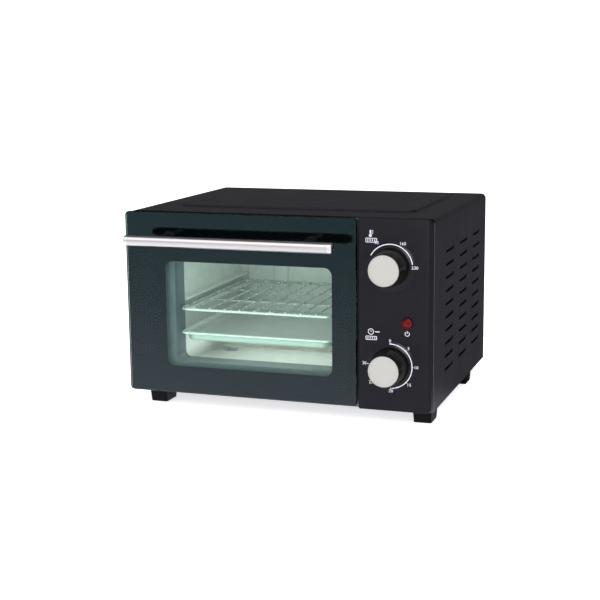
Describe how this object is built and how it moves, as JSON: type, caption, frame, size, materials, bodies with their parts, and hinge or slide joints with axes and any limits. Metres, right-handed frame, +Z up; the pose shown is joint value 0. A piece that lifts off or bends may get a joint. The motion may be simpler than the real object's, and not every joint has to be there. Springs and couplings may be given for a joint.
{
  "type": "toaster oven",
  "caption": "Countertop toaster oven with a drop-down glass door and bar handle, side control panel with temperature and timer knobs, a wire rack and a baking tray.",
  "frame": {"origin": "on the table, under the middle of the whole object's bounding box", "axes": "+Z up, the door faces -Y, +X to the right as seen from the front"},
  "size_m": [0.36, 0.339, 0.228],
  "materials": {
    "black_shell_paint": "satin",
    "black_foot_plastic": "matte",
    "panel_plastic": "matte",
    "post_plastic": "gloss",
    "zinc_steel": "satin",
    "black_screw": "satin",
    "galvanised_frame": "satin",
    "cavity_steel": "satin",
    "heater_sheath": "satin",
    "white_ceramic": "matte",
    "red_lens": "gloss",
    "spring_steel": "satin",
    "white_nylon": "matte",
    "wire_sleeve": "matte",
    "chromed_wire": "polished",
    "tray_metal": "satin",
    "shaft_aluminium": "satin",
    "knob_plastic": "satin",
    "knob_cap_silver": "satin",
    "door_glass": "polished",
    "brushed_handle": "brushed",
    "handle_cap": "satin"
  },
  "bodies": {
    "oven_body": {"outer_shell": "black_shell_paint", "base_plate": "black_shell_paint", "rear_cover": "black_shell_paint", "feet": "black_foot_plastic", "foot_screws": "zinc_steel", "cover_screws": "black_screw", "cord_gland": "black_foot_plastic", "front_frame": "galvanised_frame", "cavity_liner": "cavity_steel", "cavity_back_panel": "cavity_steel", "lower_heating_element": "heater_sheath", "upper_heating_element": "heater_sheath", "heater_bushes": "white_ceramic", "heater_clips": "zinc_steel", "control_panel": "panel_plastic", "panel_screws": "zinc_steel", "pilot_lamp_housing": "black_foot_plastic", "pilot_lamp_lens": "red_lens", "thermostat_body": "white_ceramic", "timer_body": "zinc_steel", "timer_bell": "zinc_steel", "control_screws": "zinc_steel", "hinge_brackets": "zinc_steel", "hinge_bracket_screws": "zinc_steel", "spring_anchor": "zinc_steel", "door_spring": "spring_steel", "terminal_block": "white_nylon", "internal_wires": "wire_sleeve", "thermal_fuse": "zinc_steel"},
    "door": {"door_glass": "door_glass", "door_inner_frame": "galvanised_frame", "door_hinge_ears": "zinc_steel", "hinge_pins": "zinc_steel", "door_stay": "zinc_steel", "handle_bar": "brushed_handle", "handle_end_caps": "handle_cap", "handle_posts": "post_plastic", "handle_screws": "zinc_steel"},
    "rack": {"wire_rack": "chromed_wire"},
    "tray": {"baking_tray": "tray_metal"},
    "temperature_control": {"thermostat_shaft": "shaft_aluminium", "temperature_knob": "knob_plastic", "temperature_knob_cap": "knob_cap_silver"},
    "timer_control": {"timer_shaft": "shaft_aluminium", "timer_knob": "knob_plastic", "timer_knob_cap": "knob_cap_silver"}
  },
  "joints": [
    {"name": "door_hinge", "type": "hinge", "parent": "oven_body", "child": "door", "pos_m": [-0.042, -0.1175, 0.0195], "axis": [1, 0, 0], "range_deg": [0, 79], "stiffness_Nm_per_rad": 0.4, "springref_deg": -34.38, "deforming": ["door_spring"]},
    {"name": "rack_slide", "type": "slide", "parent": "oven_body", "child": "rack", "axis": [0, -1, 0], "range_m": [0, 0.0695]},
    {"name": "tray_slide", "type": "slide", "parent": "oven_body", "child": "tray", "axis": [0, -1, 0], "range_m": [0, 0.042]},
    {"name": "temperature_knob_turn", "type": "hinge", "parent": "oven_body", "child": "temperature_control", "pos_m": [0.1336, -0.1235, 0.1746], "axis": [0, 1, 0], "range_deg": [0, 150]},
    {"name": "timer_knob_turn", "type": "hinge", "parent": "oven_body", "child": "timer_control", "pos_m": [0.1336, -0.1235, 0.0654], "axis": [0, 1, 0], "range_deg": [0, 270], "stiffness_Nm_per_rad": 0.02}
  ],
  "couplings": [
    {"joint": "rack_slide", "follows": "door_hinge", "m_per_rad": 0.05},
    {"joint": "tray_slide", "follows": "door_hinge", "m_per_rad": 0.03}
  ]
}
